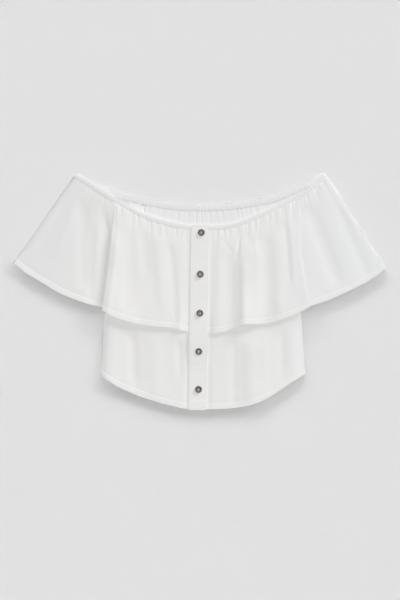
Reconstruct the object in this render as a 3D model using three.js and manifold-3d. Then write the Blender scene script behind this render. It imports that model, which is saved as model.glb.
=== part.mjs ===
// An off-the-shoulder cotton blouse, buttoned at the front and laid out flat on its back.
//
// Millimetres. The garment lies in the XY plane with its neck towards +Y, the wearer's left arm towards +X
// and +Z up from the surface that it lies on. The origin is under the middle of the whole outline.
//
// From the surface up, the layers are: the back frill, the back of the body, the two fronts of the body, the
// front frills and, down the middle, the button band. Each sleeve frill is one piece folded round the arm, so it
// has a lower and an upper layer. An elastic casing binds the neck edge, from the band round the back and back
// to the band.

import * as THREE from "three";
import { mergeVertices } from "three/addons/utils/BufferGeometryUtils.js";
import Module from "manifold-3d";

const { lerp, smoothstep, clamp } = THREE.MathUtils;

// Cloth, seams and hems
const CLOTH = 1.2;
const SEAM_GAP = 0.3;
const HEM_DEEP = 10;
const HEM_STEP = 0.5;
const HEM_RAMP = 0.5;

// Levels of the layers' lower faces above the surface
const BACK_LEVEL = 3.2;
const BACK_NECK_LEVEL = 2.6;
const FRONT_AIR = 2.0;
const FRONT_AIR_AT_BAND = 0.8;
const FRILL_LEVEL = 6.2;
const FRILL_AIR = 1.4;
const FRILL_EDGE_LEVEL = 8.2;
const FRILL_EDGE_AIR = 0.35;
const SLEEVE_LEVEL = 1.9;
const SLEEVE_AIR = 2.0;
const SLEEVE_NECK_LEVEL = 4.4;
const SLEEVE_OVER_BODY_LEVEL = 6.2;
const BACK_FRILL_RIPPLE = { count: 9, high: 1.1, from: 30, to: 90, margin: 0.08 };

// The neck edge: the casing's middle line, from the wearer's right shoulder to the left one
const FRONT_NECK = [
  { x: -236, y: 220 },
  { x: -189, y: 191 },
  { x: -156, y: 170 },
  { x: -112, y: 146 },
  { x: -66, y: 130 },
  { x: -16, y: 120.5 },
  { x: 17, y: 120 },
  { x: 64, y: 125 },
  { x: 111, y: 142 },
  { x: 153, y: 163 },
  { x: 195, y: 189.5 },
  { x: 238, y: 220.5 },
];
const BACK_NECK = [
  { x: -236, y: 220 },
  { x: -195, y: 198 },
  { x: -164, y: 186 },
  { x: -113, y: 172 },
  { x: -50, y: 161 },
  { x: 1, y: 158.5 },
  { x: 51, y: 160.5 },
  { x: 103, y: 167.5 },
  { x: 144, y: 177 },
  { x: 189, y: 195.5 },
  { x: 238, y: 220.5 },
];
const CASING = { frontWide: 9.2, backWide: 11.2, thick: 3.6, step: 11 };
const CASING_LEVEL = { back: 0, shoulder: 3.9, front: 4.7, risesOver: 60 };
const CASING_SECTION = [
  { across: -0.5, up: 0.7 },
  { across: -0.36, up: 1 },
  { across: 0.36, up: 1 },
  { across: 0.5, up: 0.7 },
  { across: 0.5, up: 0.3 },
  { across: 0.36, up: 0 },
  { across: -0.36, up: 0 },
  { across: -0.5, up: 0.3 },
];

// Hems, each from the wearer's right to the left
const SLEEVE_RIGHT_HEM = [
  { x: -352, y: 53 },
  { x: -328, y: 35 },
  { x: -294, y: 15.5 },
  { x: -251, y: -6 },
  { x: -220, y: -18 },
  { x: -190, y: -27 },
  { x: -166, y: -33 },
];
const SLEEVE_LEFT_HEM = [
  { x: 185, y: -31 },
  { x: 210, y: -25 },
  { x: 238, y: -16.5 },
  { x: 277, y: 0 },
  { x: 311, y: 16.5 },
  { x: 341, y: 33.5 },
  { x: 352, y: 43 },
];
const FRILL_RIGHT_HEM = [
  { x: -185, y: -37 },
  { x: -155, y: -51 },
  { x: -115, y: -62 },
  { x: -80, y: -67 },
  { x: -53, y: -69.5 },
  { x: -35, y: -73 },
  { x: -15.5, y: -78.5 },
];
const FRILL_LEFT_HEM = [
  { x: 11.5, y: -80 },
  { x: 43, y: -77 },
  { x: 69, y: -69 },
  { x: 85, y: -63 },
  { x: 112, y: -62 },
  { x: 133, y: -60 },
  { x: 165, y: -50 },
  { x: 192, y: -39 },
  { x: 208, y: -30 },
];
const FRILL_BACK_HEM = [
  { x: -172, y: -29.5 },
  { x: -115, y: -54 },
  { x: -40, y: -70 },
  { x: 40, y: -70 },
  { x: 115, y: -54 },
  { x: 190, y: -28 },
];
const BODY_HEM = [
  { x: -187, y: -161 },
  { x: -155, y: -181 },
  { x: -102, y: -203 },
  { x: -62, y: -215 },
  { x: -20, y: -223.5 },
  { x: 14, y: -223.5 },
  { x: 58, y: -222 },
  { x: 98, y: -215 },
  { x: 133, y: -200.5 },
  { x: 165, y: -179.5 },
  { x: 201, y: -156.5 },
];

// Where each panel's sides meet the neck, and how far they bow out on the way to the hem
const BODY_NECK_X = { right: -126, left: 128 };
const BODY_BOW = { right: 19, left: 21 };
const FRILL_NECK_X = { right: -156, left: 188 };
const FRILL_BOW = { right: 4.5, left: -4.2 };
const SLEEVE_NECK_X = { right: -141, left: 175 };
const FRILL_BACK_NECK_X = { right: -113, left: 103 };
const BOW_POWER = 1.3;
const SLEEVE_STRIP = 16;
const FRILL_STRIP = { right: 18, left: 28 };
const BACK_INSET = 0.8;

// Gathers: how many, how high, and how far they run down from the neck
const SLEEVE_GATHERS = { count: 9, high: 1.5, run: 24 };
const SLEEVE_LOWER_GATHERS = { count: 9, high: 0.9, run: 22 };
const FRILL_RIGHT_GATHERS = { count: 14, high: 2.2, run: 26 };
const FRILL_LEFT_GATHERS = { count: 16, high: 2.2, run: 28 };
const FRILL_BACK_GATHERS = { count: 32, high: 1.0, run: 30 };
const BODY_BACK_GATHERS = { count: 26, high: 0.6, run: 34 };

// Folds: each lies along a line, with its half width and its height, below nought for a trough
const FRILL_RIGHT_FOLDS = [
  { x1: -146, y1: 142, x2: -166, y2: -60, wide: 10, high: 2.0 },
  { x1: -126, y1: 110, x2: -127, y2: -35, wide: 8, high: -1.4 },
  { x1: -104, y1: 120, x2: -109, y2: -80, wide: 9, high: 1.8 },
  { x1: -86, y1: 95, x2: -85, y2: -5, wide: 6, high: -1.2 },
  { x1: -76, y1: 115, x2: -62, y2: 5, wide: 7, high: 1.6 },
  { x1: -61, y1: 100, x2: -38, y2: -40, wide: 6, high: -1.4 },
  { x1: -46, y1: 105, x2: -26, y2: -95, wide: 6, high: 1.6 },
];
const FRILL_LEFT_FOLDS = [
  { x1: 43, y1: 100, x2: 33, y2: -100, wide: 11, high: 2.0 },
  { x1: 41, y1: 98, x2: 70, y2: 64, wide: 4, high: -1.6 },
  { x1: 79, y1: 118, x2: 70, y2: 64, wide: 4, high: -1.6 },
  { x1: 70, y1: 72, x2: 69, y2: -100, wide: 5, high: -3.2 },
  { x1: 89, y1: 112, x2: 90, y2: -85, wide: 8, high: 2.1 },
  { x1: 117, y1: 120, x2: 113, y2: -50, wide: 6, high: 1.4 },
  { x1: 134, y1: 140, x2: 136, y2: -30, wide: 6, high: -1.4 },
  { x1: 154, y1: 140, x2: 161, y2: -70, wide: 8, high: 2.0 },
  { x1: 166, y1: 150, x2: 177, y2: -10, wide: 6, high: -1.4 },
];
const SLEEVE_RIGHT_FOLDS = [
  { x1: -212, y1: 175, x2: -203, y2: 20, wide: 10, high: -1.8 },
  { x1: -229, y1: 185, x2: -275, y2: 60, wide: 9, high: 1.1 },
  { x1: -250, y1: 175, x2: -312, y2: 70, wide: 8, high: -1.4 },
  { x1: -232, y1: 150, x2: -238, y2: -10, wide: 11, high: 1.1 },
];
const SLEEVE_LEFT_FOLDS = [
  { x1: 208, y1: 172, x2: 256, y2: 60, wide: 7, high: -1.9 },
  { x1: 226, y1: 180, x2: 282, y2: 20, wide: 8, high: 1.1 },
  { x1: 243, y1: 198, x2: 314, y2: 60, wide: 8, high: -1.5 },
  { x1: 232, y1: 130, x2: 238, y2: -10, wide: 9, high: 0.9 },
];
const BODY_FOLDS = [
  { x1: -153, y1: -60, x2: -147, y2: -215, wide: 12, high: 1.3 },
  { x1: -116, y1: -62, x2: -109, y2: -160, wide: 9, high: -1.6 },
  { x1: -75, y1: -60, x2: -69, y2: -215, wide: 12, high: 1.4 },
  { x1: -35, y1: -78, x2: -29, y2: -150, wide: 6, high: -1.0 },
  { x1: 43, y1: -75, x2: 47, y2: -240, wide: 12, high: 1.4 },
  { x1: 79, y1: -75, x2: 86, y2: -215, wide: 8, high: -1.9 },
  { x1: 113, y1: -65, x2: 119, y2: -225, wide: 10, high: 1.5 },
  { x1: 164, y1: -58, x2: 166, y2: -165, wide: 7, high: -1.4 },
];

// The button band, slightly aslant, and the stand under it
const BAND = { top: 125.5, bottom: -225.5, wide: 33, middleTop: 1, middleBottom: -4.2, hem: 19 };
const BAND_TUCK = 3;
const BAND_SIDE_GAP = 0.6;
const BAND_ROWS = 26;
const BAND_COLUMNS = 2;
const BUTTONS = [
  { x: 2.5, y: 112 },
  { x: 1.1, y: 33 },
  { x: -0.2, y: -40.5 },
  { x: -1.9, y: -114 },
  { x: -2.3, y: -186 },
];
const BUTTON = { across: 13.3, thick: 2.6, round: 0.6, rim: 1.5, dish: 0.7, sides: 16 };
const BUTTON_HOLES = { across: 1.8, off: 1.75, count: 4, sides: 6, turn: 0.7 };

const WHITE_CLOTH = { color: 0xf4f3f0, roughness: 0.9, metalness: 0 };
const BROWN_BUTTON = { color: 0x5f4f3d, roughness: 0.45, metalness: 0 };

const wasm = await Module();
wasm.setup();

// Lines in plan

function smoothLine(table) {
  const points = table.map(({ x, y }) => new THREE.Vector3(x, y, 0));
  return new THREE.CatmullRomCurve3(points, false, "centripetal");
}

// The share of a curve's length at which it reaches x; its x only rises.
function shareAt(curve, x) {
  let low = 0;
  let high = 1;
  for (let i = 0; i < 24; i++) {
    const middle = (low + high) / 2;
    if (curve.getPointAt(middle).x < x) low = middle;
    else high = middle;
  }
  return (low + high) / 2;
}

// A point at a share of a curve, moved away from it towards the hem.
function beside(curve, share, away) {
  const p = curve.getPointAt(share);
  const t = curve.getTangentAt(share);
  return new THREE.Vector3(p.x + t.y * away, p.y - t.x * away, 0);
}

const frontNeck = smoothLine(FRONT_NECK);
const backNeck = smoothLine(BACK_NECK);
const bodyHem = smoothLine(BODY_HEM);
const frillBackHem = smoothLine(FRILL_BACK_HEM);
const frontNeckAway = CASING.frontWide / 2 + SEAM_GAP;
const backNeckAway = CASING.backWide / 2 + SEAM_GAP;

function bandMiddle(y) {
  return lerp(BAND.middleBottom, BAND.middleTop, (y - BAND.bottom) / (BAND.top - BAND.bottom));
}

// Gathers aren't even: their places are shifted a little along the neck.
function unevenly(u) {
  return u + 0.008 * Math.sin(6 * Math.PI * u) + 0.005 * Math.sin(14 * Math.PI * u);
}

// An edge as a function of u, along a curve between two places on it.
function edge(curve, xFrom, xTo, away = 0, places = (u) => u) {
  const from = shareAt(curve, xFrom);
  const to = shareAt(curve, xTo);
  return (u) => beside(curve, lerp(from, to, places(u)), away);
}

// How far a panel's sides bow out at a share of the way down.
function bow(right, left) {
  return (u, share) => Math.sin(Math.PI * share) ** BOW_POWER * lerp(-right, left, u);
}

// Heights

// One fold's height at a place: a soft ridge or trough along a line, fading out past both ends.
function foldHeight(fold, x, y) {
  const dx = fold.x2 - fold.x1;
  const dy = fold.y2 - fold.y1;
  const long = Math.hypot(dx, dy);
  const along = ((x - fold.x1) * dx + (y - fold.y1) * dy) / long;
  const across = ((x - fold.x1) * dy - (y - fold.y1) * dx) / long;
  const fade = smoothstep(along, -10, 30) * (1 - smoothstep(along, long - 30, long + 10));
  return fold.high * fade * Math.exp(-((across / fold.wide) ** 2));
}

function foldsHeight(folds, x, y) {
  return folds.reduce((sum, fold) => sum + foldHeight(fold, x, y), 0);
}

// A gather's height at a share along its stretch of neck and a distance down from it.
function gatherHeight({ count, high, run }, u, down) {
  const uneven = 0.75 + 0.25 * Math.sin(u * count * 1.9 + 1);
  const reach = run * (0.8 + 0.35 * Math.sin(u * count * 2.7));
  const crest = (1 - Math.cos(2 * Math.PI * u * count)) / 2;
  return high * crest * uneven * Math.exp(-((down / reach) ** 2));
}

// The line of the front frill's hem, and how far under the frill a place is: 1 under it and 0 well below it.
function frillHemY(x) {
  return -79 + 41 * (x / 190) ** 2;
}

function underFrill(x, y) {
  return smoothstep(y, frillHemY(x) - 38, frillHemY(x) - 4);
}

function backLow(x, y) {
  return BACK_LEVEL * underFrill(x, y);
}

// The body's front lies on the back, and is full of air below the frill apart from its side seams.
function frontLow(x, y, fromSide) {
  const puffed = Math.max(0, FRONT_AIR + foldsHeight(BODY_FOLDS, x, y));
  const fromBand = Math.abs(x - bandMiddle(y)) - BAND.wide / 2;
  const air = lerp(FRONT_AIR_AT_BAND, puffed, smoothstep(fromBand, 0, 14)) * smoothstep(fromSide, 0, 26);
  return backLow(x, y) + CLOTH + SEAM_GAP + (1 - underFrill(x, y)) * air;
}

// The button band lies over the fronts and over the front frills' edges.
function bandLow(y) {
  const middle = bandMiddle(y);
  const overFront = frontLow(middle, y, BAND.wide * 4);
  const overFrill = smoothstep(y, frillHemY(middle) - 31, frillHemY(middle) - 4);
  return lerp(overFront, FRILL_LEVEL, overFrill) + CLOTH + HEM_STEP + SEAM_GAP;
}

// Walls

function raised(p, up) {
  return new THREE.Vector3(p.x, p.y, p.z + up);
}

function named(name, geometry, finish) {
  geometry.computeVertexNormals();
  const mesh = new THREE.Mesh(geometry, new THREE.MeshStandardMaterial(finish));
  mesh.name = name;
  return mesh;
}

// Joins two rows of points with triangles. They may differ in number, and each point's key says how far along
// its row it is.
function zip(a, b, put) {
  let i = 0;
  let j = 0;
  while (i < a.length - 1 || j < b.length - 1) {
    if (j === b.length - 1 || (i < a.length - 1 && a[i + 1].key <= b[j + 1].key)) {
      put(a[i], b[j], a[i + 1]);
      i++;
    } else {
      put(a[i], b[j], b[j + 1]);
      j++;
    }
  }
}

// A closed wall from rows of {key, inner, outer}. Rows run from the neck to the hem, and their points from the
// wearer's right to the left where the outer face looks up.
function wall(name, rows) {
  const positions = [];
  const index = [];
  const ids = rows.map((row) =>
    row.map(({ key, inner, outer }) => {
      const first = positions.length / 3;
      positions.push(...outer.toArray(), ...inner.toArray());
      return { key, outer: first, inner: first + 1 };
    }),
  );
  const rim = (p, q) => index.push(p.outer, q.outer, q.inner, p.outer, q.inner, p.inner);
  for (let r = 0; r < ids.length - 1; r++) {
    const [a, b] = [ids[r], ids[r + 1]];
    zip(a, b, (p, q, s) => {
      index.push(p.outer, q.outer, s.outer);
      index.push(p.inner, s.inner, q.inner);
    });
    rim(b[0], a[0]);
    rim(a.at(-1), b.at(-1));
  }
  const first = ids[0];
  const last = ids.at(-1);
  for (let i = 0; i < first.length - 1; i++) rim(first[i], first[i + 1]);
  for (let i = 0; i < last.length - 1; i++) rim(last[i + 1], last[i]);
  const geometry = new THREE.BufferGeometry();
  geometry.setAttribute("position", new THREE.Float32BufferAttribute(positions, 3));
  geometry.setIndex(index);
  return named(name, geometry, WHITE_CLOTH);
}

// The share of the way from the neck to the hem at which a row lies.
function shareDown(row, top, bottom) {
  const long = top.distanceTo(bottom);
  if (row.down !== undefined) return row.down / long;
  if (row.up !== undefined) return 1 - row.up / long;
  if (row.belowFrill !== undefined) {
    const y = frillHemY((top.x + bottom.x) / 2) - row.belowFrill;
    return clamp((y - top.y) / (bottom.y - top.y), 0.1, 0.9);
  }
  return row.share;
}

// The points of a layer's lower face along one row, from u = 0 to 1.
function rowPoints({ neck, hem, bowed = () => 0, low }, row, columns) {
  const points = Array.from({ length: columns + 1 }, (_, k) => {
    const u = k / columns;
    const top = neck(u);
    const bottom = hem(u);
    const share = shareDown(row, top, bottom);
    const p = top.clone().lerp(bottom, share);
    p.x += bowed(u, share);
    return { u, p, down: share * top.distanceTo(bottom) };
  });
  const wide = points[0].p.distanceTo(points.at(-1).p);
  for (const at of points) at.p.z = low({ x: at.p.x, y: at.p.y, u: at.u, down: at.down, wide });
  return points;
}

function standing(row) {
  return CLOTH + (row.hem ? HEM_STEP : 0);
}

function panel(name, layer, rows) {
  return wall(
    name,
    rows.map((row) =>
      rowPoints(layer, row, row.columns).map(({ u, p }) => ({
        key: u,
        inner: p,
        outer: raised(p, standing(row)),
      })),
    ),
  );
}

// Rows down a frill: fine at the gathers and wider apart below, with the hem's turning raised.
function frillRows(fine, coarse) {
  return [
    { down: 0, columns: fine },
    { down: 7, columns: fine },
    { down: 17, columns: fine },
    { down: 32, columns: fine / 2 },
    { share: 0.33, columns: coarse },
    { share: 0.52, columns: coarse },
    { share: 0.72, columns: coarse },
    { up: HEM_DEEP + HEM_RAMP, columns: coarse },
    { up: HEM_DEEP, columns: coarse, hem: true },
    { up: 0, columns: coarse, hem: true },
  ];
}

// The body

const BODY_ROWS = [
  { belowFrill: 4 },
  { belowFrill: 12 },
  { belowFrill: 20 },
  { belowFrill: 29 },
  { belowFrill: 38 },
  { belowFrill: 60 },
  { belowFrill: 84 },
];

function bodyBack() {
  const gathers = BODY_BACK_GATHERS;
  const neckRight = BODY_NECK_X.right - 4;
  const neckLeft = BODY_NECK_X.left + 4;
  const layer = {
    neck: edge(backNeck, neckRight, neckLeft, backNeckAway, unevenly),
    hem: (u) => beside(bodyHem, lerp(0.003, 0.997, u), -BACK_INSET),
    bowed: bow(BODY_BOW.right - BACK_INSET, BODY_BOW.left - BACK_INSET),
    low: ({ x, y, u, down }) => {
      const atNeck = BACK_NECK_LEVEL + gatherHeight(gathers, u, down * 0.5);
      return lerp(atNeck, backLow(x, y), smoothstep(down, 10, 40));
    },
  };
  const fine = gathers.count * 2;
  return panel("body_back", layer, [
    { down: 0, columns: fine },
    { down: 10, columns: fine },
    { down: 26, columns: fine },
    { down: 42, columns: 26 },
    { share: 0.35, columns: 18 },
    ...BODY_ROWS.map((row) => ({ ...row, columns: 18 })),
    { up: 0, columns: 18 },
  ]);
}

function bodyFront(side) {
  const right = side === "right";
  const inner = (right ? -1 : 1) * (BAND.wide / 2 - BAND_TUCK);
  const neckX = [BODY_NECK_X[side], bandMiddle(BAND.top) + inner];
  const hemX = [right ? BODY_HEM[0].x : BODY_HEM.at(-1).x, bandMiddle(BAND.bottom) + inner];
  if (!right) [neckX, hemX].forEach((pair) => pair.reverse());
  const layer = {
    neck: edge(frontNeck, ...neckX, frontNeckAway),
    hem: edge(bodyHem, ...hemX),
    bowed: right ? bow(BODY_BOW.right, 0) : bow(0, BODY_BOW.left),
    low: ({ x, y, u, wide }) => frontLow(x, y, wide * (right ? u : 1 - u)),
  };
  const columns = 16;
  return panel("body_front_" + side, layer, [
    { down: 0, columns },
    { share: 0.3, columns },
    ...BODY_ROWS.map((row) => ({ ...row, columns })),
    { belowFrill: 108, columns },
    { up: HEM_DEEP + HEM_RAMP, columns },
    { up: HEM_DEEP, columns, hem: true },
    { up: 0, columns, hem: true },
  ]);
}

// The frills

function frillFront(side, hemTable, gathers, folds) {
  const right = side === "right";
  const inner = bandMiddle(BAND.top) + (right ? -1 : 1) * (BAND.wide / 2 - BAND_TUCK);
  const neckX = right ? [FRILL_NECK_X.right, inner] : [inner, FRILL_NECK_X.left];
  const hem = smoothLine(hemTable);
  const strip = FRILL_STRIP[side];
  const layer = {
    neck: edge(frontNeck, ...neckX, frontNeckAway, unevenly),
    hem: (u) => hem.getPointAt(u),
    bowed: right ? bow(FRILL_BOW.right, 0) : bow(0, FRILL_BOW.left),
    low: ({ x, y, u, down, wide }) => {
      const fromEdge = wide * (right ? u : 1 - u);
      const fromBand = wide * (right ? 1 - u : u);
      const open = smoothstep(fromBand, BAND_TUCK, BAND_TUCK + 14);
      const rise = (FRILL_EDGE_LEVEL - FRILL_LEVEL) * (1 - smoothstep(fromEdge, strip, strip + 16));
      const air = Math.max(0, FRILL_AIR + foldsHeight(folds, x, y));
      const full = lerp(FRILL_EDGE_AIR, 1, smoothstep(fromEdge, 0, 14)) * smoothstep(down, 0, 36);
      return FRILL_LEVEL + rise + open * (air * full + gatherHeight(gathers, u, down));
    },
  };
  return panel("frill_front_" + side, layer, frillRows(gathers.count * 4, 24));
}

function frillBack() {
  const { count, high, from, to, margin } = BACK_FRILL_RIPPLE;
  const gathers = FRILL_BACK_GATHERS;
  const layer = {
    neck: edge(backNeck, FRILL_BACK_NECK_X.right, FRILL_BACK_NECK_X.left, backNeckAway, unevenly),
    hem: (u) => frillBackHem.getPointAt(u),
    low: ({ u, down }) => {
      const ripple = (high * (1 - Math.cos(2 * Math.PI * count * u))) / 2;
      const inside = smoothstep(u, 0, margin) * (1 - smoothstep(u, 1 - margin, 1));
      return ripple * inside * smoothstep(down, from, to) + gatherHeight(gathers, u, down);
    },
  };
  return panel("frill_back", layer, frillRows(gathers.count * 2, count * 4));
}

// A sleeve frill: each row is a ring that is open where its two edges lie, one under the front frill and one at
// the back frill's seam. It runs from that seam out to the fold at the arm, and back along the upper layer. The
// left sleeve is worked out as its mirror image.
function sleeve(side, hemTable, folds) {
  const right = side === "right";
  const way = right ? 1 : -1;
  const turned = (p) => new THREE.Vector3(way * p.x, p.y, p.z);
  const hemPoints = hemTable.map(({ x, y }) => ({ x: way * x, y }));
  const hem = smoothLine(right ? hemPoints : hemPoints.reverse());
  const neckTo = (curve, x, away) => {
    const shoulder = right ? 0 : 1;
    const to = shareAt(curve, x);
    return (u) => turned(beside(curve, lerp(shoulder, to, u), away));
  };
  const seamX = way * (right ? FRILL_BACK_HEM[0].x : FRILL_BACK_HEM.at(-1).x) - SEAM_GAP - BACK_INSET;
  const seamShare = shareAt(hem, seamX);
  const upper = {
    neck: neckTo(frontNeck, SLEEVE_NECK_X[side], frontNeckAway),
    hem: (u) => hem.getPointAt(u),
    low: ({ x, y, u, down, wide }) => {
      const free = smoothstep(wide * (1 - u), SLEEVE_STRIP, SLEEVE_STRIP + 30);
      const open = smoothstep(wide * u, 0, 14);
      const air = Math.max(0, SLEEVE_AIR + open * foldsHeight(folds, way * x, y));
      const level = lerp(SLEEVE_NECK_LEVEL, SLEEVE_LEVEL + air, smoothstep(down, 0, 45));
      const gather = open * gatherHeight(SLEEVE_GATHERS, u, down);
      return lerp(SLEEVE_OVER_BODY_LEVEL, level + gather, free);
    },
  };
  const lower = {
    neck: neckTo(backNeck, FRILL_BACK_NECK_X[side] - way * SEAM_GAP, backNeckAway),
    hem: (u) => beside(hem, lerp(0, seamShare, u), -BACK_INSET),
    low: ({ u, down }) => smoothstep(u, 0, 0.1) * gatherHeight(SLEEVE_LOWER_GATHERS, u, down),
  };
  const rows = frillRows(SLEEVE_GATHERS.count * 4, 22).map((row) => {
    const above = rowPoints(upper, row, row.columns);
    const below = rowPoints(lower, row, row.columns / 2);
    const ring = [
      ...below.map(({ u, p }) => ({ key: -1 - u, inner: raised(p, CLOTH), outer: p })).reverse(),
      ...foldAtArm(above[0].p, above[1].p, below[0].p),
      ...above.map(({ u, p }) => ({ key: u, inner: p, outer: raised(p, standing(row)) })),
    ];
    if (right) return ring;
    const mirrored = ({ key, inner, outer }) => ({ key: -key, inner: turned(inner), outer: turned(outer) });
    return ring.map(mirrored).reverse();
  });
  return wall("frill_sleeve_" + side, rows);
}

// The points round the fold at the arm, from the lower layer to the upper one.
function foldAtArm(to, next, lowest) {
  const from = raised(lowest, CLOTH);
  const middle = from.clone().lerp(to, 0.5);
  const half = to.clone().sub(middle);
  const out = to.clone().sub(next).setZ(0).normalize();
  return [-0.5, 0, 0.5].map((turn) => {
    const angle = (turn * 2 * Math.PI) / 3;
    const reach = (extra) =>
      middle
        .clone()
        .addScaledVector(out, Math.cos(angle) * (half.z + extra))
        .addScaledVector(half, Math.sin(angle) * (1 + extra / half.z));
    return { key: turn * 0.5 - 0.5, inner: reach(0), outer: reach(CLOTH) };
  });
}

// The elastic casing

function casing(name, curve, from, to, wide, levelAt) {
  const long = curve.getLength();
  const steps = Math.round(((to - from) * long) / CASING.step);
  const positions = [];
  const index = [];
  const count = CASING_SECTION.length;
  for (let i = 0; i <= steps; i++) {
    const share = lerp(from, to, i / steps);
    for (const { across, up } of CASING_SECTION) {
      const p = beside(curve, share, -across * wide);
      positions.push(p.x, p.y, levelAt(share * long, (1 - share) * long) + up * CASING.thick);
    }
  }
  const id = (i, k) => i * count + (k % count);
  for (let i = 0; i < steps; i++) {
    for (let k = 0; k < count; k++) {
      index.push(id(i, k), id(i + 1, k), id(i + 1, k + 1));
      index.push(id(i, k), id(i + 1, k + 1), id(i, k + 1));
    }
  }
  for (let k = 1; k < count - 1; k++) {
    index.push(id(0, 0), id(0, k), id(0, k + 1));
    index.push(id(steps, 0), id(steps, k + 1), id(steps, k));
  }
  const geometry = new THREE.BufferGeometry();
  geometry.setAttribute("position", new THREE.Float32BufferAttribute(positions, 3));
  geometry.setIndex(index);
  return named(name, geometry, WHITE_CLOTH);
}

function casings() {
  const backLevel = () => CASING_LEVEL.back;
  const frontLevel = (fromRight, fromLeft) => {
    const fromShoulder = Math.min(fromRight, fromLeft);
    const rise = smoothstep(fromShoulder, 0, CASING_LEVEL.risesOver);
    return lerp(CASING_LEVEL.shoulder, CASING_LEVEL.front, rise);
  };
  const toBand = BAND.wide / 2 + SEAM_GAP * 2;
  const atBand = [-1, 1].map((way) => shareAt(frontNeck, bandMiddle(BAND.top) + way * toBand));
  const wide = CASING.frontWide;
  return [
    casing("casing_front_right", frontNeck, 0, atBand[0], wide, frontLevel),
    casing("casing_front_left", frontNeck, atBand[1], 1, wide, frontLevel),
    casing("casing_back", backNeck, 0, 1, CASING.backWide, backLevel),
  ];
}

// The button band and its buttons

function band(name, wide, drop) {
  const across = (y) => (u) => new THREE.Vector3(bandMiddle(y) + (u - 0.5) * wide, y, 0);
  const layer = {
    neck: across(BAND.top),
    hem: across(BAND.bottom),
    low: ({ y }) => bandLow(y) - drop,
  };
  const columns = BAND_COLUMNS;
  const end = 1 - (BAND.hem + HEM_RAMP) / (BAND.top - BAND.bottom);
  const rows = Array.from({ length: BAND_ROWS }, (_, i) => ({ share: (end * i) / (BAND_ROWS - 1), columns }));
  return panel(name, layer, [...rows, { up: BAND.hem, columns, hem: true }, { up: 0, columns, hem: true }]);
}

function bands() {
  const under = BAND.wide - 2 * (BAND_TUCK + BAND_SIDE_GAP);
  return [
    band("placket_top", BAND.wide, 0),
    band("placket_under", under, CLOTH + HEM_STEP + SEAM_GAP),
  ];
}

function solidOf(geometry) {
  const plain = geometry.clone();
  plain.deleteAttribute("normal");
  plain.deleteAttribute("uv");
  const merged = mergeVertices(plain, 1e-4);
  const vertProperties = merged.attributes.position.array;
  const triVerts = new Uint32Array(merged.index.array);
  return new wasm.Manifold(new wasm.Mesh({ numProp: 3, vertProperties, triVerts }));
}

// A round button with a rim, a dished middle and four holes, on its back at the origin.
function buttonGeometry() {
  const { across, thick, round, rim, dish, sides } = BUTTON;
  const radius = across / 2;
  const profile = [
    [0, 0],
    [radius - round, 0],
    [radius, round],
    [radius, thick - round],
    [radius - round, thick],
    [radius - rim, thick],
    [radius - rim - dish, thick - dish],
    [0, thick - dish],
  ].map(([r, z]) => new THREE.Vector2(r, z));
  let solid = solidOf(new THREE.LatheGeometry(profile, sides).rotateX(Math.PI / 2));
  for (let i = 0; i < BUTTON_HOLES.count; i++) {
    const angle = BUTTON_HOLES.turn + (i * 2 * Math.PI) / BUTTON_HOLES.count;
    const bore = BUTTON_HOLES.across / 2;
    const drill = new THREE.CylinderGeometry(bore, bore, thick * 3, BUTTON_HOLES.sides).rotateX(Math.PI / 2);
    drill.translate(BUTTON_HOLES.off * Math.cos(angle), BUTTON_HOLES.off * Math.sin(angle), 0);
    solid = solid.subtract(solidOf(drill));
  }
  const mesh = solid.getMesh();
  const geometry = new THREE.BufferGeometry();
  geometry.setAttribute("position", new THREE.BufferAttribute(mesh.vertProperties, 3));
  geometry.setIndex(new THREE.BufferAttribute(mesh.triVerts, 1));
  return geometry;
}

function buttons() {
  return BUTTONS.map(({ x, y }, i) => {
    const mesh = named("button_" + (i + 1), buttonGeometry(), BROWN_BUTTON);
    const reach = BUTTON.across / 2;
    const highest = Math.max(bandLow(y - reach), bandLow(y), bandLow(y + reach));
    mesh.position.set(x, y, highest + CLOTH + SEAM_GAP);
    return mesh;
  });
}

const blouse = new THREE.Group();
blouse.add(
  frillBack(),
  bodyBack(),
  bodyFront("right"),
  bodyFront("left"),
  sleeve("right", SLEEVE_RIGHT_HEM, SLEEVE_RIGHT_FOLDS),
  sleeve("left", SLEEVE_LEFT_HEM, SLEEVE_LEFT_FOLDS),
  frillFront("right", FRILL_RIGHT_HEM, FRILL_RIGHT_GATHERS, FRILL_RIGHT_FOLDS),
  frillFront("left", FRILL_LEFT_HEM, FRILL_LEFT_GATHERS, FRILL_LEFT_FOLDS),
  ...casings(),
  ...bands(),
  ...buttons(),
);

export default blouse;
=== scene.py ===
# An off-the-shoulder cotton blouse with a deep frill, laid flat and seen from straight above.
#
# Tables and heights are in millimetres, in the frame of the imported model: +X towards the wearer's left arm,
# +Y towards the neck, +Z up. Meshes are made in metres.

import math

import bpy
import numpy as np
from mathutils import Matrix, Vector


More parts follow.
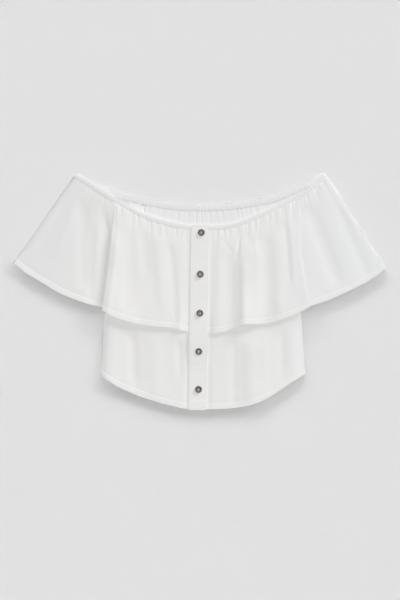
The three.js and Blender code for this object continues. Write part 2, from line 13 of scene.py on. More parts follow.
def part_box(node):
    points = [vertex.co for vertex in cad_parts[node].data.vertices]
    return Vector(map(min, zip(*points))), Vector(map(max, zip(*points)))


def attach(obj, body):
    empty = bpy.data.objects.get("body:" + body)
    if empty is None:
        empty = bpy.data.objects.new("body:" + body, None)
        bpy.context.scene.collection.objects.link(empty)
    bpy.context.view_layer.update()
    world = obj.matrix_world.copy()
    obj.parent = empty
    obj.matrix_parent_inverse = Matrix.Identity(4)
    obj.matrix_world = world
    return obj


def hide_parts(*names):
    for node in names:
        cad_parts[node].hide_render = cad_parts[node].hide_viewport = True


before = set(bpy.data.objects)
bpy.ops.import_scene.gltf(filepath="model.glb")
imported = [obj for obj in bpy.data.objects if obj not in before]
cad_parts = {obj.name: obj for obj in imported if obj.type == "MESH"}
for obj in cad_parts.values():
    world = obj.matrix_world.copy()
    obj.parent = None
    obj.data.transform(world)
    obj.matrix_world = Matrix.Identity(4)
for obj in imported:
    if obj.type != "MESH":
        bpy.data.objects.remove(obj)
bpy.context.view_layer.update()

MM = 0.001

# Cloth, seams and hems. A hem's turning is a step with a shallow groove where it is sewn.
WALL = 1.2
SHEET = 0.5
BAND_SHEET = 0.9
SEAM_GAP = 0.3
HEM_DEEP = 10.0
HEM_STEP = 0.5
HEM_DOUBLED = {"below": 0.8, "above": 0.4}
HEM_SEAM = {"high": 0.18, "ramp": 1.0, "groove": 0.2, "groove_off": 1.2, "groove_wide": 1.1}

# How the free edges of the layers stand off or roll down. "right" and "left" are heights on the wearer's
# two sides, "wide" is how far in they reach, and "up" how far up from the hem.
EDGE_ROLL = {"wide": 2.5, "steep": 0.96, "right": 1.0, "left": 0.1}
EDGE_CREST = {
    "right": {"at": 11, "wide": 9, "high": 1.3, "lift": 1.4, "fades": 26},
    "left": {"at": 3, "wide": 9, "high": 0.2, "lift": 0.4, "fades": 14},
}
FOLD_OUT = {"power": 1.4, "right": 1.6, "left": 0.3}
SLEEVE_ROLL = {"wide": 9, "up": 40, "right": 2.6, "left": 0.4}
SLEEVE_HEM_LIFT = {"up": 50, "right": 0.6, "left": 0.5}
BODY_ROLL = {"wide": 14, "right": 2.8, "left": 0.4}
BODY_HEM_LIFT = {"up": 45, "high": 0.6}
BODY_EDGE_LIFT = {"right": 3.2, "left": 0.5, "fades": 34, "corner_more": 1 / 12, "corner_up": 22}

# How far the front frill's hem stands off, all along and near some places: x, half width, height
HEM_LIFT = {"up": 85, "high": 1.6}
HEM_LIFTS = [
    (-150, 28, 2.4),
    (-128, 12, 1.4),
    (-100, 22, 0.8),
    (-54, 9, -0.8),
    (-36, 9, 1.2),
    (23, 7, 2.0),
    (60, 20, 1.6),
    (88, 18, 2.6),
    (124, 14, -1.0),
    (150, 20, 1.2),
]

# How far a sleeve's upper layer takes to come down beside the body, at the neck and at the hem
SLEEVE_FALL = {"right": (24, 8), "left": (6, 6)}

# Over what distances the forms of a layer come in. "down" is from its neck edge, the others are from the
# band, its side edge or the fold over the arm.
SLEEVE_IN = {"fall_down": (15, 75), "level_down": 45, "fold": 14, "lower_share": 0.1}
BODY_IN = {"band": 14, "side": 26, "back_down": 34}
FRILL_IN = {
    "band": 24,
    "side": 14,
    "down": 36,
    "rise_down": (30, 80),
    "rise_side": 50,
    "crest_down": (40, 85),
}

# Levels of the layers above the surface
BACK_LEVEL = 3.2
BACK_NECK_LEVEL = 1.9
FRONT_AIR = 2.0
FRONT_AIR_AT_BAND = 0.8
FRILL_LEVEL = 6.2
FRILL_NECK_RISE = 0.9
FRILL_AIR = 1.4
FRILL_EDGE_LEVEL = 8.2
FRILL_EDGE_AIR = {"right": 0.35, "left": 1.05}
SLEEVE_LEVEL = 1.9
SLEEVE_AIR = 2.0
SLEEVE_NECK_LEVEL = 5.4
SLEEVE_OVER_BODY_LEVEL = 6.2

# The back of the body follows the lift of the front's side edge, and gives way below its first millimetre
BODY_BACK_AIR = 0.8
BODY_BACK_SHARE = {"of_lift": 0.8, "of_first_mm": -0.5}

# The neck edge: the casing's middle line, from the wearer's right shoulder to the left one
FRONT_NECK = [
    (-236, 220), (-189, 191), (-156, 170), (-112, 146), (-66, 130), (-16, 120.5),
    (17, 120), (64, 125), (111, 142), (153, 162), (195, 184.5), (214, 197.5), (238, 220),
]
BACK_NECK = [
    (-236, 220), (-195, 198), (-164, 186), (-113, 172), (-50, 161), (1, 158.5),
    (51, 160.5), (103, 167.5), (144, 177), (189, 197), (238, 220.5),
]
CASING = {
    "front_wide": 9.2,
    "back_wide": 12.2,
    "edge_high": 2.9,
    "crown": 0.45,
    "cloth": 0.35,
    "fullness": 1.2,
    "ends_round": 2.0,
    "ends_least": 0.15,
    "ring_apart": 1.0,
    "sides": 16,
}
UNDER_CASING = 0.9
CASING_LEVEL = {"back": 0, "shoulder": 3.9, "front": 4.7, "rises_over": 60}

# The casing's ribs: how far apart, and how high before and after the two values of x where they grow
FRONT_RIBS = {"pitch": 5.0, "high": (0.04, 0.2), "grows": (150, 200)}
BACK_RIBS = {"pitch": 4.8, "high": (0.2, 0.2), "grows": (0, 1)}

# How the ribs' pitch wanders: how far, how fast along the casing, and where in its wave it starts
RIB_WOBBLE = [(1.3, 0.37, 0), (0.8, 0.83, 1)]

# Hems, each from the wearer's right to the left
SLEEVE_RIGHT_HEM = [
    (-352, 53), (-328, 33.5), (-294, 13), (-265, -4), (-220, -21.5), (-190, -30), (-166, -35),
]
SLEEVE_LEFT_HEM = [
    (185, -34), (210, -28), (238, -19), (277, -2.5), (311, 14.5), (341, 33), (352, 43),
]
FRILL_RIGHT_HEM = [
    (-185, -37), (-155, -51), (-115, -62), (-80, -67), (-53, -69.5), (-35, -73), (-15.5, -78.5),
]
FRILL_LEFT_HEM = [
    (11.5, -80), (43, -77), (69, -69), (85, -63), (112, -62), (133, -60), (165, -50), (192, -39),
    (208, -30),
]
FRILL_BACK_HEM = [(-172, -29.5), (-115, -54), (-40, -70), (40, -70), (115, -54), (190, -28)]
BODY_HEM = [
    (-187, -161), (-155, -181), (-102, -203), (-62, -215), (-20, -223.5), (14, -223.5),
    (58, -222), (98, -215), (133, -200.5), (165, -179.5), (201, -156.5),
]

# Where each panel's sides meet the neck, and how far they bow out on the way to the hem
BODY_NECK_X = {"right": -126, "left": 128}
BODY_BOW = {"right": 16.5, "left": 19.3}
FRILL_NECK_X = {"right": -160, "left": 188}
FRILL_BOW = {"right": -2.0, "left": -9.0}
SLEEVE_NECK_X = {"right": -141, "left": 175}
FRILL_BACK_NECK_X = {"right": -113, "left": 103}
BOW_POWER = 1.3
SLEEVE_STRIP = {"right": 17, "left": 0}
FRILL_STRIP = {"right": 18, "left": 28}
BACK_INSET = 0.8
BACK_NECK_WIDER = 4
BACK_HEM_SHARES = (0.003, 0.997)

# How unevenly columns are spread along a gathered neck: how far they move, over how many half waves
UNEVEN = [(0.008, 6), (0.005, 14)]

# A bowed stand-in for the front frills' hems, and how far above it the layers below are free of the frill
FRILL_HEM_BOW = {"lowest": -79, "rise": 41, "at": 190}
UNDER_FRILL = (38, 4)
BAND_OVER_FRILL = (75, 4)

# Gathers along each stretch of neck: how many, how deep, how far they run down, and how many fine puckers
GATHERS = {
    "sleeve": {"count": 12, "high": 0.8, "run": 18, "fine": 26, "puff": 0.9},
    "sleeve_lower": {"count": 9, "high": 0.7, "run": 22, "fine": 0, "puff": 0.9},
    "frill_right": {"count": 13, "high": 1.1, "run": 18, "fine": 34, "puff": 0.9},
    "frill_left": {"count": 15, "high": 1.15, "run": 20, "fine": 34, "puff": 0.9},
    "frill_back": {"count": 24, "high": 0.8, "run": 30, "fine": 0, "puff": 0.9},
    "body_back": {"count": 25, "high": 0.8, "run": 26, "fine": 20, "puff": 0},
}
GATHER = {"deep": 1.0, "wide": 2.7}
PUCKER = {"deep": 0.3, "wide": 1.6, "run": 6}
GATHER_WIDENS = 45
GATHER_STARTS = 3
GATHER_ENDS_POWER = 1.4

# How uneven the gathers are: the range of each share, and how far places and slants stray
GATHER_UNEVEN = {"deep": (0.4, 1.2), "wide": (0.7, 1.4), "long": (0.4, 1.9), "place": 0.36, "slant": 0.08}

# Ripples of the back frill below its gathers
BACK_RIPPLE = {"count": 9, "half_high": 0.55, "ends": 0.08, "down": (30, 90)}

# A fold fades out at its ends, over a share of its length and no more than the longest. Cloth that a fold
# presses down rounds off softly before it reaches the layer below.
FOLD_FADE = {"longest": 30, "share": 0.45}
PRESSED_SOFT = 0.5

# Folds, each along a line: x1, y1, x2, y2, half width, height
FRILL_RIGHT_FOLDS = [
    (-136, 110, -133, -50, 12, -1.8),
    (-108, 128, -100, 25, 9, -1.3),
    (-80, 115, -70, -40, 10, 1.3),
    (-57, 95, -42, -70, 7, -1.6),
    (-164, 158, -168, 130, 2.2, -1.0),
]
FRILL_LEFT_FOLDS = [
    (30, 100, 27, -100, 9, 0.4),
    (56, 75, 56, -110, 11, -1.8),
    (83, 70, 83, -110, 8, 1.4),
    (95, 95, 88, -110, 20, 3.6),
    (38, 106, 71, 60, 5, -0.6),
    (79, 124, 70, 60, 3.5, -1.5),
    (102, 130, 107, 65, 5, 0.9),
    (110, 90, 112, -60, 9, 0.9),
    (143, 125, 152, -50, 12, 1.4),
    (162, 132, 172, 5, 6, -1.1),
    (170, 150, 178, 0, 9, 1.0),
]
SLEEVE_RIGHT_FOLDS = [
    (-222, 172, -217, 0, 12, -2.0),
    (-229, 185, -275, 60, 9, 0.8),
    (-250, 175, -312, 70, 8, -1.0),
    (-177, 150, -199, -95, 10, -1.8),
    (-203, 130, -206, -60, 8, -1.3),
    (-186, 174, -186, 140, 2.2, -0.6),
    (-171, 168, -168, 140, 2.0, -0.6),
]
SLEEVE_LEFT_FOLDS = [
    (205, 165, 266, 5, 14, -2.0),
    (258, 168, 322, 20, 11, -1.1),
    (176, 150, 212, -95, 9, -2.2),
    (184, 172, 192, 151, 2.2, -1.0),
]
BODY_FOLDS = [
    (-129, -60, -124, -185, 10, -2.0),
    (-87, -62, -80, -215, 16, 1.3),
    (-40, -78, -36, -175, 7, -1.3),
    (63, -75, 65, -235, 8, -0.9),
    (87, -75, 90, -225, 8, 0.3),
    (99, -75, 102, -235, 18, 3.0),
    (122, -65, 125, -220, 12, 1.2),
    (154, -60, 156, -170, 9, -1.4),
]
BACK_TUCKS = [
    (-113, 169, -106, 157, 1.4, -1.4),
    (-100, 169, -106.5, 157, 1.4, -1.4),
    (-106.5, 162, -106.3, 144, 1.5, -1.5),
    (-7, 160, -7, 110, 1.1, -0.4),
    (19.6, 160, 19.6, 110, 1.1, -0.4),
]
BAND_WRINKLES = [
    (-24, 44, 4, 45, 1.6, 0.25),
    (-12, 70, 20, 86, 3.0, 0.22),
    (20, 62, -10, 50, 3.5, -0.22),
    (-20, 8, 14, 20, 3.0, 0.2),
    (18, -12, -16, -22, 3.5, -0.2),
    (-22, -62, 16, -52, 3.0, 0.22),
    (20, -85, -12, -98, 3.5, -0.22),
    (-22, -138, 12, -128, 3.0, 0.2),
    (16, -150, -18, -162, 3.5, -0.2),
]

# The button band, the stand under it and the buttons
BAND = {"top": 125.5, "bottom": -225.5, "wide": 33, "middle_top": 1, "middle_bottom": -4.2, "hem": 19}
BAND_STITCH = {"in": 2, "wide": 0.6, "deep": 0.2}
BAND_ROWS_AT_HEM = [0, 0.5, 1.5]
BAND_TUCK = 3
BAND_SIDE_GAP = 0.6
BUTTON = {"across": 13.3, "thick": 2.6, "rim": 1.5, "dish": 0.7, "hole": 1.4, "hole_off": 1.3}
BUTTON_ROUND = {"below": 0.6, "above": 0.7, "bowl": 1.4}
SEWING = {"radius": 0.15, "apart": 0.34, "low": -1.2, "arch": 1.75, "power": 0.35, "cross": 0.2}

# How each button is turned, in degrees, and how far it stands from its solid: x, y
BUTTON_TURNS = [50, 20, 65, 5, 40]
BUTTON_SHIFTS = [(0.5, -1.0), (0.0, -0.8), (0.5, -1.1), (0.1, -0.3), (0.0, -0.1)]

# How finely each piece is divided: columns across it, rows between its gathers and its hem, and how far
# down its rows lie close together for the gathers
DIVIDED = {
    "body_back": {"columns": 301, "rows": 60, "fine": 48},
    "body_front": {"columns": 131, "rows": 130, "fine": 14},
    "frill_front": {"columns": 261, "rows": 70, "fine": 48},
    "frill_back": {"columns": 201, "rows": 30, "fine": 48},
    "sleeve": {"columns": 181, "rows": 46, "fine": 48},
    "sleeve_lower": {"columns": 81, "rows": 46, "fine": 48},
}
BAND_DIVIDED = {"columns": 45, "rows": 230, "hem_rows": 12, "seam_rows": 9}

# How far apart the rows are in the gathers, and their heights above a hem
GATHER_ROW = 1.4
ROWS_ABOVE_HEM = [15, 12.5, 11, 10.5, 10.1, 9.7, 9.3, 8.8, 8.2, 7, 5, 3, 1.2, 0.4, 0]

# Columns round the fold over the arm, and the angle in degrees from which an edge is shown sharp
FOLD_COLUMNS = 13
SHARP_ANGLE = 55

# Colours. The cotton's go from shade to light in a mottle, and towards painted light and shade on each side
# of the blouse, between two values of x in metres: cooler and lighter towards the wearer's left, darker
# towards the wearer's right, as the light falls across the blouse.
COTTON_SEEN = ((0.845, 0.839, 0.830, 1), (0.918, 0.914, 0.906, 1))
# The second cotton is the first darkened: painted shade for the inside of the back and the casings.
COTTON_PAINTED_SHADE = ((0.822, 0.818, 0.814, 1), (0.892, 0.889, 0.888, 1))
COTTON_DOUBLED = (0.897, 0.892, 0.884, 1)
PAINTED_SIDE_SHADING = [
    (0.12, 0.34, (0.876, 0.884, 0.893, 1)),
    (-0.15, -0.32, (0.830, 0.829, 0.829, 1)),
]
HORN_DARK = (0.020, 0.014, 0.009, 1)
HORN_LIGHT = (0.135, 0.095, 0.06, 1)
THREAD_COLOUR = (0.62, 0.6, 0.57, 1)
FLOOR_COLOUR = (0.664, 0.662, 0.660, 1)

# The photograph's frame on the surface: its middle, its height, and how far off the camera is
PIXEL = 1.9
FRAME_HIGH = 600 * PIXEL
FRAME_MIDDLE = (0.6, -16.6)
CAMERA_OFF = 2400
SENSOR = 36
FLOOR_HALF = 4000
FLOOR_DOWN = 0.05

# Soft lights far away, in degrees: how far round from the picture's top towards its right they stand,
# how high, and how wide they spread; then their strength and what they fall on. FILL is even light from all
# round.
FILL = 0.095
LIGHTS = {
    "overhead": (0, 89, 16, 1.99, "all"),
    "floor_key": (4, 11, 8, 2.1, "floor"),
    "floor_key_left": (-32, 13.5, 8, 1.8, "floor"),
    "floor_key_right": (54, 12.5, 8, 2.2, "floor"),
    "cloth_key": (41, 19.3, 18, 1.6, "cloth"),
}


# Lines in plan

def smooth_line(points, parts=24):
    """A dense run of points on a centripetal Catmull-Rom curve."""
    p = np.array(points, float)
    p = np.vstack([2 * p[0] - p[1], p, 2 * p[-1] - p[-2]])
    out = []
    for i in range(1, len(p) - 2):
        a, b, c, d = p[i - 1], p[i], p[i + 1], p[i + 2]
        ab, bc, cd = (np.linalg.norm(q - r) ** 0.5 for q, r in ((b, a), (c, b), (d, c)))
        start = ((b - a) / ab - (c - a) / (ab + bc) + (c - b) / bc) * bc
        end = ((c - b) / bc - (d - b) / (bc + cd) + (d - c) / cd) * bc
        t = np.linspace(0, 1, parts, endpoint=False)[:, None]
        out.append(
            (2 * t**3 - 3 * t**2 + 1) * b + (t**3 - 2 * t**2 + t) * start
            + (3 * t**2 - 2 * t**3) * c + (t**3 - t**2) * end
        )
    return np.vstack([*out, p[-2]])


class Line:
    """A smooth line in plan that is read by its share of the length."""

    # The share of the line on each side of a point that gives its direction there
    NEAR = 0.004

    def __init__(self, points):
        self.p = smooth_line(points)
        steps = np.linalg.norm(np.diff(self.p, axis=0), axis=1)
        self.long = steps.sum()
        self.share = np.concatenate([[0], np.cumsum(steps)]) / self.long

    def at(self, share):
        return np.stack([np.interp(share, self.share, self.p[:, k]) for k in (0, 1)], -1)

    def share_at(self, x):
        return np.interp(x, self.p[:, 0], self.share)

    def beside(self, share, away):
        """Points at shares of the line, moved away from it towards the hem."""
        share = np.asarray(share, float)
        t = self.at(np.clip(share + self.NEAR, 0, 1)) - self.at(np.clip(share - self.NEAR, 0, 1))
        t /= np.linalg.norm(t, axis=-1, keepdims=True)
        return self.at(share) + np.stack([t[..., 1], -t[..., 0]], -1) * np.asarray(away, float)[..., None]


front_neck = Line(FRONT_NECK)
back_neck = Line(BACK_NECK)
body_hem = Line(BODY_HEM)
frill_back_hem = Line(FRILL_BACK_HEM)
FRONT_AWAY = CASING["front_wide"] / 2 + SEAM_GAP
BACK_AWAY = CASING["back_wide"] / 2 + SEAM_GAP


def lerp(a, b, t):
    return a + (b - a) * t


def smoothstep(x, low, high):
    t = np.clip((x - low) / (high - low), 0, 1)
    return t * t * (3 - 2 * t)


BAND_LONG = BAND["top"] - BAND["bottom"]


def band_middle(y):
    return lerp(BAND["middle_bottom"], BAND["middle_top"], (y - BAND["bottom"]) / BAND_LONG)


def unevenly(u):
    return u + sum(far * np.sin(half_waves * np.pi * u) for far, half_waves in UNEVEN)


def edge(line, x_from, x_to, away=0.0, places=lambda u: u):
    start, end = line.share_at(x_from), line.share_at(x_to)
    return lambda u: line.beside(lerp(start, end, places(u)), away)


def bow(right, left):
    return lambda u, share: np.sin(np.pi * np.clip(share, 0, 1)) ** BOW_POWER * lerp(-right, left, u)


# Heights

def puffed(air, folds, x, y):
    """Air under a sheet, raised and lowered by its folds without going below nothing."""
    height = air + folds_height(folds, x, y)
    return (height + np.sqrt(height**2 + PRESSED_SOFT)) / 2


def folds_height(folds, x, y):
    total = np.zeros_like(x)
    for x1, y1, x2, y2, wide, high in folds:
        dx, dy = x2 - x1, y2 - y1
        long = math.hypot(dx, dy)
        along = ((x - x1) * dx + (y - y1) * dy) / long
        across = ((x - x1) * dy - (y - y1) * dx) / long
        run = min(FOLD_FADE["longest"], FOLD_FADE["share"] * long)
        fade = smoothstep(along, -run / 3, run) * (1 - smoothstep(along, long - run, long + run / 3))
        total += high * fade * np.exp(-((across / wide) ** 2))
    return total


def gather_height(kind, at):
    """Narrow valleys that widen and fade below the seam, uneven in place, depth and length."""
    g = GATHERS[kind]
    uneven = GATHER_UNEVEN
    seeded = np.random.default_rng(g["count"] * 31 + g["run"])
    across_all, down = at["u"] * at["wide"], at["down"]
    total = g["puff"] * (np.exp(-down / g["run"]) - np.exp(-down / GATHER_STARTS))
    kinds = ((g["count"], g["run"], GATHER), (g["fine"], PUCKER["run"], PUCKER))
    for count, run, size in kinds:
        for k in range(count):
            spot = (k + 0.5 + seeded.uniform(-uneven["place"], uneven["place"])) / count
            deep = size["deep"] * seeded.uniform(*uneven["deep"])
            half = size["wide"] * seeded.uniform(*uneven["wide"])
            long = run * seeded.uniform(*uneven["long"])
            slant = seeded.uniform(-uneven["slant"], uneven["slant"])
            across = across_all - spot * at["wide"] - slant * down
            half_here = half * (1 + down / GATHER_WIDENS)
            ends = (down / long) ** GATHER_ENDS_POWER
            total = total - deep * np.exp(-((across / half_here) ** 2) - ends)
    return g["high"] * total


def frill_hem_y(x):
    return FRILL_HEM_BOW["lowest"] + FRILL_HEM_BOW["rise"] * (x / FRILL_HEM_BOW["at"]) ** 2


def above_frill_hem(x, y, below, above):
    """0 to 1 as y rises past the frill's hem, between two distances below and above it."""
    return smoothstep(y, frill_hem_y(x) - below, frill_hem_y(x) - above)


def under_frill(x, y):
    return above_frill_hem(x, y, *UNDER_FRILL)


def back_low(x, y):
    return BACK_LEVEL * under_frill(x, y)


def side_lift(side, x, y, from_side, up):
    """How far the body's side edge stands off the surface below the frill."""
    shape = BODY_EDGE_LIFT
    lift = shape[side] * (1 + shape["corner_more"] * np.exp(-((up / shape["corner_up"]) ** 2)))
    return lift * np.exp(-((from_side / shape["fades"]) ** 2)) * (1 - under_frill(x, y))


def hem_rise(x, y):
    """How far the body's hem stands off the surface."""
    up = y - np.interp(x, body_hem.p[:, 0], body_hem.p[:, 1])
    return BODY_HEM_LIFT["high"] * (1 - smoothstep(up, 0, BODY_HEM_LIFT["up"]))


def front_low(x, y, from_side, roll=0.0):
    free = puffed(FRONT_AIR, BODY_FOLDS, x, y)
    from_band = np.abs(x - band_middle(y)) - BAND["wide"] / 2
    air = lerp(FRONT_AIR_AT_BAND, free, smoothstep(from_band, 0, BODY_IN["band"]))
    air = air * smoothstep(from_side, 0, BODY_IN["side"])
    rolled = roll * np.clip(1 - from_side / BODY_ROLL["wide"], 0, 1) ** 2
    return back_low(x, y) + WALL + SEAM_GAP + (1 - under_frill(x, y)) * air + hem_rise(x, y) - rolled


def band_low(y):
    y = np.asarray(y, float)
    middle = band_middle(y)
    over_frill = above_frill_hem(middle, y, *BAND_OVER_FRILL)
    over_front = front_low(middle, y, BAND["wide"] * 4)
    return lerp(over_front, FRILL_LEVEL, over_frill) + WALL + HEM_STEP + SEAM_GAP


def hem_share(at, deep=HEM_DEEP):
    """1 where the cloth is doubled by its turned-up hem, else 0."""
    return 1 - smoothstep(at["up"], deep - HEM_DOUBLED["below"], deep + HEM_DOUBLED["above"])


def hem_height(up, deep=HEM_DEEP):
    """The turning of a hem: a step up to it, with a shallow groove where it is sewn."""
    turned = 1 - smoothstep(up, deep - HEM_SEAM["ramp"], deep + HEM_SEAM["ramp"])
    groove = np.exp(-(((up - deep - HEM_SEAM["groove_off"]) / HEM_SEAM["groove_wide"]) ** 2))
    return HEM_SEAM["high"] * turned - HEM_SEAM["groove"] * groove


# Meshes

def make_mesh(name, points, faces, material, smooth=True):
    mesh = bpy.data.meshes.new(name)
    mesh.from_pydata((np.asarray(points, float) * MM).tolist(), [], faces)
    mesh.materials.append(material)
    if smooth:
        mesh.polygons.foreach_set("use_smooth", [True] * len(mesh.polygons))
    mesh.validate()
    if smooth:
        mesh.set_sharp_from_angle(angle=math.radians(SHARP_ANGLE))
    piece = bpy.data.objects.new(name, mesh)
    bpy.context.scene.collection.objects.link(piece)
    return piece


def grid_faces(rows, columns, start=0, flip=False):
    r, c = np.meshgrid(np.arange(rows - 1), np.arange(columns - 1), indexing="ij")
    a = (start + r * columns + c).ravel()
    quads = np.stack([a, a + columns, a + columns + 1, a + 1], 1)
    return quads[:, ::-1] if flip else quads


def normals_of(grid):
    along = np.gradient(grid, axis=1)
    down = np.gradient(grid, axis=0)
    n = np.cross(down, along)
    return n / np.maximum(np.linalg.norm(n, axis=-1, keepdims=True), 1e-9)


def shell(name, grid, material, thick=SHEET, turned=None):
    """A closed thin sheet whose outer face is the grid of points, rows running from the neck to the hem."""
    rows, columns = grid.shape[:2]
    inner = grid - normals_of(grid) * thick
    points = np.concatenate([grid.reshape(-1, 3), inner.reshape(-1, 3)])
    n = rows * columns
    border = np.concatenate([
        np.arange(columns),
        np.arange(1, rows) * columns + columns - 1,
        (rows - 1) * columns + np.arange(columns - 2, -1, -1),
        np.arange(rows - 2, 0, -1) * columns,
    ])
    following = np.roll(border, -1)
    rim = np.stack([border, following, following + n, border + n], 1)
    faces = np.concatenate([grid_faces(rows, columns), grid_faces(rows, columns, n, True), rim])
    piece = make_mesh(name, points, faces.tolist(), material)
    if turned is not None:
        doubled = piece.data.attributes.new("doubled", "FLOAT", "POINT")
        doubled.data.foreach_set("value", np.tile(turned.ravel(), 2).astype(np.float32))
    return piece


def rows_down(long, rows, fine):
    """Shares down a panel for each column: close together at the gathers and at the hem."""
    top = np.linspace(0, fine, int(fine / GATHER_ROW) + 1)[:, None] / long[None, :]
    bottom = 1 - np.array(ROWS_ABOVE_HEM)[:, None] / long[None, :]
    middle = lerp(top[-1:], bottom[:1], np.linspace(0, 1, rows + 2)[1:-1, None])
    return np.concatenate([top, middle, bottom])


def surface(panel, columns, rows=0, fine=0, shares=None):
    """A panel's grid of points, and what its height is worked out from."""
    u = np.linspace(0, 1, columns)
    top, bottom = panel["neck"](u), panel["hem"](u)
    long = np.linalg.norm(top - bottom, axis=1)
    if shares is None:
        shares = rows_down(long, rows, fine)
    p = lerp(top[None], bottom[None], shares[..., None])
    uu = np.broadcast_to(u, shares.shape)
    if "bow" in panel:
        p[..., 0] += panel["bow"](uu, shares)
    at = {
        "x": p[..., 0],
        "y": p[..., 1],
        "u": uu,
        "down": shares * long,
        "up": (1 - shares) * long,
        "wide": np.linalg.norm(p[:, -1] - p[:, 0], axis=-1)[:, None],
    }
    return np.dstack([p, panel["low"](at) + WALL]), at


# Materials

class Nodes:
    """A material with short ways to add nodes to it. All textures are placed by object coordinates."""

    def __init__(self, name):
        self.material = bpy.data.materials.new(name)
        self.material.use_nodes = True
        self.tree = self.material.node_tree
        self.shader = self.tree.nodes["Principled BSDF"]
        self.place = self.tree.nodes.new("ShaderNodeTexCoord").outputs["Object"]

    def fill(self, node, values):
        """Set a node's inputs to plain values, or link them to other nodes' outputs."""
        for socket, value in values.items():
            if isinstance(value, bpy.types.NodeSocket):
                self.tree.links.new(value, node.inputs[socket])
            else:
                node.inputs[socket].default_value = value

    def add(self, kind, values, **settings):
        node = self.tree.nodes.new("ShaderNode" + kind)
        for setting, value in settings.items():
            setattr(node, setting, value)
        self.fill(node, values)
        return node.outputs

    def noise(self, scale, detail=3.0, stretch=(1, 1, 1), distortion=0.0):
        placed = self.add("Mapping", {"Vector": self.place, "Scale": stretch})["Vector"]
        values = {"Vector": placed, "Scale": scale, "Detail": detail, "Distortion": distortion}
        return self.add("TexNoise", values)["Fac"]

    def threads(self, direction):
        values = {
            "Vector": self.place, "Scale": 520, "Distortion": 1.5, "Detail": 2, "Detail Scale": 0.4,
        }
        return self.add("TexWave", values, bands_direction=direction)["Fac"]

    def maths(self, kind, a, b):
        return self.add("Math", {0: a, 1: b}, operation=kind)[0]

    def bump(self, height, strength, distance, below=None):
        values = {"Height": height, "Strength": strength, "Distance": distance}
        if below:
            values["Normal"] = below
        return self.add("Bump", values)["Normal"]

    def mixed(self, factor, a, b):
        return self.add("Mix", {"Factor": factor, "A": a, "B": b}, data_type="RGBA")["Result"]


def cotton(name, shade, light, weave=0.12):
    """White plain-woven cotton: two crossed sets of threads, slubs and a soft crumple as bump."""
    n = Nodes(name)
    slub = n.maths("MULTIPLY", n.noise(900, 2, (0.12, 1, 1)), n.noise(900, 2, (1, 0.12, 1)))
    crossed = n.maths("MULTIPLY", n.threads("X"), n.threads("Y"))
    woven = n.maths("ADD", crossed, n.maths("MULTIPLY", slub, 1.2))
    crumple = n.bump(n.noise(45, 4), 0.25, 0.0012)

    across = n.maths("MULTIPLY", n.noise(170, 4, (1, 0.18, 1)), 0.5)
    along = n.maths("MULTIPLY", n.noise(170, 4, (0.18, 1, 1)), 0.5)
    streaks = n.maths("MULTIPLY", n.maths("ADD", across, along), 0.55)
    mottle = n.maths("ADD", n.maths("MULTIPLY", n.noise(14, 4), 0.45), streaks)
    colour = n.mixed(mottle, shade, light)
    x = n.add("SeparateXYZ", {"Vector": n.place})["X"]
    # Painted light and shade: cooler and lighter towards the wearer's left, darker towards the wearer's right
    for start, end, painted_side_tone in PAINTED_SIDE_SHADING:
        outward = n.add("MapRange", {"Value": x, "From Min": start, "From Max": end})["Result"]
        colour = n.mixed(outward, colour, painted_side_tone)
    doubled = n.add("Attribute", {}, attribute_name="doubled")["Fac"]
    n.fill(n.shader, {
        "Base Color": n.mixed(doubled, colour, COTTON_DOUBLED),
        "Normal": n.bump(woven, weave, 0.0003, crumple),
        "Roughness": 0.88,
        "Sheen Weight": 0.25,
        "Sheen Roughness": 0.6,
        "Specular IOR Level": 0.2,
    })
    return n.material


def horn(name):
    """Mottled brown horn."""
    n = Nodes(name)
    ramp = n.tree.nodes.new("ShaderNodeValToRGB")
    dark, light = ramp.color_ramp.elements
    dark.position, light.position = 0.35, 0.68
    dark.color, light.color = HORN_DARK, HORN_LIGHT
    n.fill(ramp, {"Fac": n.noise(260, 5, distortion=1.2)})
    n.fill(n.shader, {"Base Color": ramp.outputs["Color"], "Roughness": 0.35})
    return n.material


def thread(name):
    n = Nodes(name)
    twist = n.bump(n.noise(3000, 2), 0.3, 0.0001)
    n.fill(n.shader, {"Base Color": THREAD_COLOUR, "Normal": twist, "Roughness": 0.7})
    return n.material


def floor_material():
    n = Nodes("floor")
    n.fill(n.shader, {"Base Color": FLOOR_COLOUR, "Roughness": 0.9, "Specular IOR Level": 0.1})
    return n.material


COTTON = cotton("cotton", *COTTON_SEEN)
# The same cotton darkened, as painted shade for the inside of the back and the casings
PAINTED_SHADE_COTTON = cotton("cotton_painted_shade", *COTTON_PAINTED_SHADE)
HORN = horn("horn")
THREAD = thread("thread")


def dress(piece, slot_name, *nodes):
    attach(piece, "root")
    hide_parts(*nodes)
    return piece


# The body

def body_back():
    neck_x = (BODY_NECK_X["right"] - BACK_NECK_WIDER, BODY_NECK_X["left"] + BACK_NECK_WIDER)

    def low(at):
        at_neck = BACK_NECK_LEVEL + gather_height("body_back", at)
        tucks = folds_height(BACK_TUCKS, at["x"], at["y"])
        right_lift = side_lift("right", at["x"], at["y"], at["wide"] * at["u"], at["up"])
        left_lift = side_lift("left", at["x"], at["y"], at["wide"] * (1 - at["u"]), at["up"])
        lift = right_lift + left_lift
        level = back_low(at["x"], at["y"]) + BODY_BACK_AIR + hem_rise(at["x"], at["y"])
        level += BODY_BACK_SHARE["of_lift"] * lift + BODY_BACK_SHARE["of_first_mm"] * np.clip(lift, 0, 1)
        return lerp(at_neck, level, np.clip(at["down"] / BODY_IN["back_down"], 0, 1)) + tucks

    panel = {
        "neck": edge(back_neck, *neck_x, BACK_AWAY, unevenly),
        "hem": lambda u: body_hem.beside(lerp(*BACK_HEM_SHARES, u), -BACK_INSET),
        "bow": bow(BODY_BOW["right"] - BACK_INSET, BODY_BOW["left"] - BACK_INSET),
        "low": low,
    }
    grid, _ = surface(panel, **DIVIDED["body_back"])
    # The inside of the back gets the darkened cotton, painted shade
    piece = dress(shell("back_of_body", grid, PAINTED_SHADE_COTTON), "cotton", "body_back")


